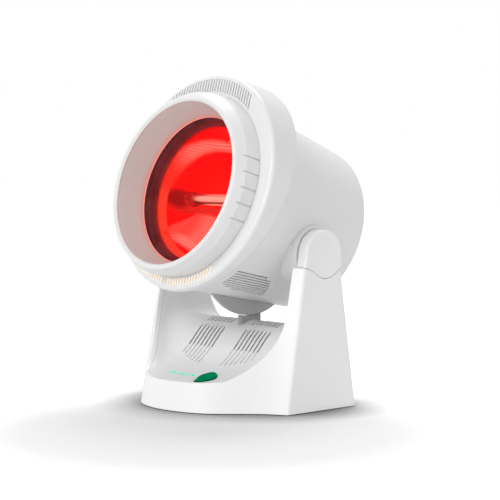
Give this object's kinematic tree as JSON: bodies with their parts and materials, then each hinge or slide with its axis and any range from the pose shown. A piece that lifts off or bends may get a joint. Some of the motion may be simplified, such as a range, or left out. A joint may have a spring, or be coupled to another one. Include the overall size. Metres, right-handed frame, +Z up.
{
  "type": "infrared heat therapy lamp",
  "caption": "Tabletop infrared heat lamp with a round tilting lamp head, red filter glass and vented flange, held between the towers of a U-shaped plastic stand with a push button.",
  "frame": {"origin": "on the rest surface, at the middle of the footprint of the whole lamp at rest", "axes": "+Z up, +X to the lamp's right hand side seen from the front, the lamp faces -Y; the tilt axis runs along X"},
  "size_m": [0.191, 0.1976, 0.2791],
  "materials": {
    "housing_white": "glossy white moulded plastic",
    "deck_white": "glossy white moulded plastic, a little greyer",
    "floor_white": "matt white moulded plastic",
    "zinc_steel": "zinc-plated pressed and turned steel",
    "screw_steel": "zinc-plated steel screws",
    "foot_rubber": "dark grey rubber",
    "gland_black": "black nylon bush",
    "board_green": "green glass-fibre circuit board",
    "inner_black": "black plastic",
    "led_clear": "clear resin",
    "window_mint": "milky mint light guide, lit from below",
    "button_green": "deep green plastic",
    "shade_grey": "satin pale grey heat-resistant plastic",
    "seal_silicone": "red-brown silicone",
    "filter_red": "red filter glass-ceramic",
    "carrier_dark": "dark painted pressed steel",
    "reflector_bright": "bright dimpled aluminium sheet",
    "shield_steel": "aluminised steel sheet",
    "tube_glass": "clear quartz tube",
    "filament_tungsten": "coiled tungsten, glowing",
    "ceramic_white": "unglazed white ceramic",
    "terminal_nylon": "natural nylon",
    "washer_fibre": "fibre friction washers"
  },
  "bodies": {
    "base": {"base_shell": "housing_white", "deck_panel": "deck_white", "pivot_cap_right": "housing_white", "pivot_cap_left": "housing_white", "bearing_plate_right": "zinc_steel", "bearing_plate_left": "zinc_steel", "bearing_screws": "screw_steel", "guide_post": "deck_white", "bottom_plate": "floor_white", "rubber_feet": "foot_rubber", "base_screws": "screw_steel", "cord_gland": "gland_black", "control_board": "board_green", "board_parts": "inner_black", "tact_switch": "inner_black", "indicator_leds": "led_clear", "indicator_windows": "window_mint"},
    "head": {"rear_housing": "housing_white", "vent_flange": "housing_white", "housing_screws": "screw_steel", "front_ring": "housing_white", "shade_cone": "shade_grey", "glass_seal": "seal_silicone", "filter_glass": "filter_red", "glass_carrier": "carrier_dark", "reflector": "reflector_bright", "heat_shield": "shield_steel", "carrier_screws": "screw_steel", "halogen_tube": "tube_glass", "filament": "filament_tungsten", "tube_end_caps": "ceramic_white", "lamp_holders": "ceramic_white", "thermal_cutout": "ceramic_white", "terminal_block": "terminal_nylon", "tilt_sector": "housing_white", "trunnion_pin_right": "zinc_steel", "trunnion_pin_left": "zinc_steel", "friction_washers": "washer_fibre", "stop_plates": "zinc_steel", "trunnion_screws": "screw_steel"},
    "button": {"power_button": "button_green", "switch_plunger": "inner_black"}
  },
  "joints": [
    {"name": "head_tilt", "type": "hinge", "parent": "base", "child": "head", "pos_m": [0, 0.01072, 0.1299], "axis": [-1, 0, 0], "range_deg": [-30, 15]},
    {"name": "button_press", "type": "slide", "parent": "base", "child": "button", "axis": [0, 0, -1], "range_m": [0, 0.0012], "stiffness_N_per_m": 1200, "springref_m": -0.0006}
  ]
}
